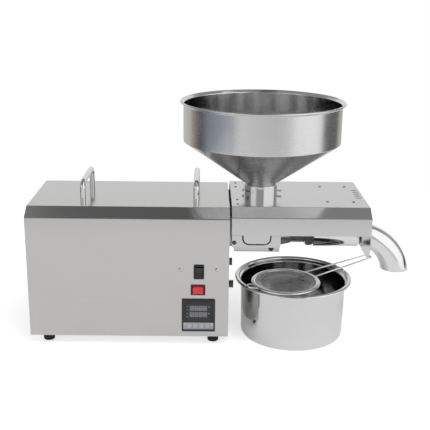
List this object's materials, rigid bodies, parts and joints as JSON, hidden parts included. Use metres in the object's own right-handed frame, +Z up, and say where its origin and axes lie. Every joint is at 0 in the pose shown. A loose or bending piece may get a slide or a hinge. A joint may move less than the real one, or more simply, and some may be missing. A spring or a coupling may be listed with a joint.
{
  "type": "screw oil press",
  "caption": "Stainless countertop screw oil press with a motor housing, heated press head, seed hopper, cake elbow, oil pot and strainer.",
  "frame": {"origin": "on the table, under the middle of the machine's overall box", "axes": "+X from the motor end to the press end, -Y towards the operator, +Z up"},
  "size_m": [0.5647, 0.2397, 0.3441],
  "materials": {
    "sheet_steel": "brushed stainless sheet, satin",
    "cover_steel": "brushed stainless sheet, satin",
    "polished_steel": "mirror-polished stainless",
    "spun_steel": "spun stainless with fine concentric lines",
    "machined_steel": "turned steel",
    "dark_steel": "blackened steel",
    "fastener_steel": "bright screws",
    "cast_aluminium": "cast aluminium",
    "motor_paint": "dark enamel",
    "motor_core": "laminated steel",
    "rubber": "black rubber",
    "black_plastic": "black moulded plastic",
    "fan_plastic": "grey moulded plastic",
    "gland_plastic": "grey nylon",
    "display_pane": "dark display window",
    "key_grey": "grey key",
    "rocker_black": "black rocker",
    "rocker_red": "red translucent rocker",
    "red_frame": "dark red frame",
    "mesh_steel": "stainless wire cloth"
  },
  "bodies": {
    "housing": {"base_pan": "sheet_steel", "housing_shell": "sheet_steel", "left_end_panel": "sheet_steel", "right_end_panel": "sheet_steel", "end_panel_screws": "fastener_steel", "rubber_feet": "rubber", "foot_screws": "fastener_steel", "lift_handle_left": "polished_steel", "lift_handle_right": "polished_steel", "handle_nuts": "fastener_steel", "motor_body": "motor_paint", "motor_end_bell": "cast_aluminium", "motor_cradle": "motor_paint", "gearbox_case": "cast_aluminium", "gearbox_lid": "cast_aluminium", "bearings": "machined_steel", "mount_flange": "machined_steel", "flange_bolts": "fastener_steel", "press_block": "machined_steel", "press_rings": "machined_steel", "collar_nut": "machined_steel", "press_nozzle": "machined_steel", "heater_band": "polished_steel", "head_tray_front": "cover_steel", "head_tray_back": "cover_steel", "head_screws": "dark_steel", "seam_pad": "rubber", "controller_case": "black_plastic", "controller_window": "display_pane", "direction_frame": "black_plastic", "heater_frame": "red_frame", "panel_screws": "fastener_steel", "power_inlet": "black_plastic", "cable_glands": "gland_plastic"},
    "spindle": {"output_gear": "machined_steel", "output_spindle": "machined_steel", "press_screw": "machined_steel"},
    "idler": {"idler_gears": "machined_steel", "idler_shaft": "machined_steel"},
    "motor_rotor": {"motor_shaft": "motor_core", "motor_fan": "fan_plastic", "motor_pinion": "machined_steel"},
    "cover": {"cover_shell": "cover_steel", "cover_end_plate": "cover_steel", "discharge_elbow": "polished_steel", "feed_socket": "polished_steel", "socket_screws": "fastener_steel", "cover_screws": "dark_steel", "shield_screws": "fastener_steel", "heat_shield": "sheet_steel"},
    "hopper": {"hopper": "spun_steel"},
    "pot": {"oil_pot": "spun_steel"},
    "strainer": {"strainer_frame": "polished_steel", "strainer_mesh": "mesh_steel"},
    "direction_rocker": {"direction_rocker": "rocker_black"},
    "heater_rocker": {"heater_rocker": "rocker_red"},
    "key_1": {"key_1": "key_grey"},
    "key_2": {"key_2": "key_grey"},
    "key_3": {"key_3": "key_grey"},
    "key_4": {"key_4": "key_grey"}
  },
  "joints": [
    {"name": "screw_spin", "type": "hinge", "parent": "housing", "child": "spindle", "pos_m": [0, 0, 0.146], "axis": [1, 0, 0], "continuous": true},
    {"name": "idler_spin", "type": "hinge", "parent": "housing", "child": "idler", "pos_m": [-0.1, -0.03, 0.09404], "axis": [1, 0, 0], "continuous": true},
    {"name": "motor_spin", "type": "hinge", "parent": "housing", "child": "motor_rotor", "pos_m": [-0.15, 0, 0.06464], "axis": [1, 0, 0], "continuous": true},
    {"name": "cover_lift", "type": "slide", "parent": "housing", "child": "cover", "axis": [0, 0, 1], "range_m": [0, 0.045]},
    {"name": "hopper_lift", "type": "slide", "parent": "cover", "child": "hopper", "axis": [0, 0, 1], "range_m": [0, 0.06]},
    {"name": "pot_slide", "type": "slide", "parent": "housing", "child": "pot", "axis": [0, -1, 0], "range_m": [0, 0.12]},
    {"name": "strainer_lift", "type": "slide", "parent": "pot", "child": "strainer", "axis": [0, 0, 1], "range_m": [0, 0.02]},
    {"name": "direction_tilt", "type": "hinge", "parent": "housing", "child": "direction_rocker", "pos_m": [-0.0369, -0.0895, 0.1138], "axis": [1, 0, 0], "range_deg": [-9, 9]},
    {"name": "heater_tilt", "type": "hinge", "parent": "housing", "child": "heater_rocker", "pos_m": [-0.038, -0.0895, 0.0864], "axis": [0, 0, 1], "range_deg": [-9, 9]},
    {"name": "key_1_press", "type": "slide", "parent": "housing", "child": "key_1", "axis": [0, 1, 0], "range_m": [0, 0.0008], "stiffness_N_per_m": 300, "springref_m": -0.001},
    {"name": "key_2_press", "type": "slide", "parent": "housing", "child": "key_2", "axis": [0, 1, 0], "range_m": [0, 0.0008], "stiffness_N_per_m": 300, "springref_m": -0.001},
    {"name": "key_3_press", "type": "slide", "parent": "housing", "child": "key_3", "axis": [0, 1, 0], "range_m": [0, 0.0008], "stiffness_N_per_m": 300, "springref_m": -0.001},
    {"name": "key_4_press", "type": "slide", "parent": "housing", "child": "key_4", "axis": [0, 1, 0], "range_m": [0, 0.0008], "stiffness_N_per_m": 300, "springref_m": -0.001}
  ],
  "couplings": [
    {"joint": "idler_spin", "follows": "screw_spin", "ratio": -2.75},
    {"joint": "motor_spin", "follows": "screw_spin", "ratio": 8.25}
  ]
}
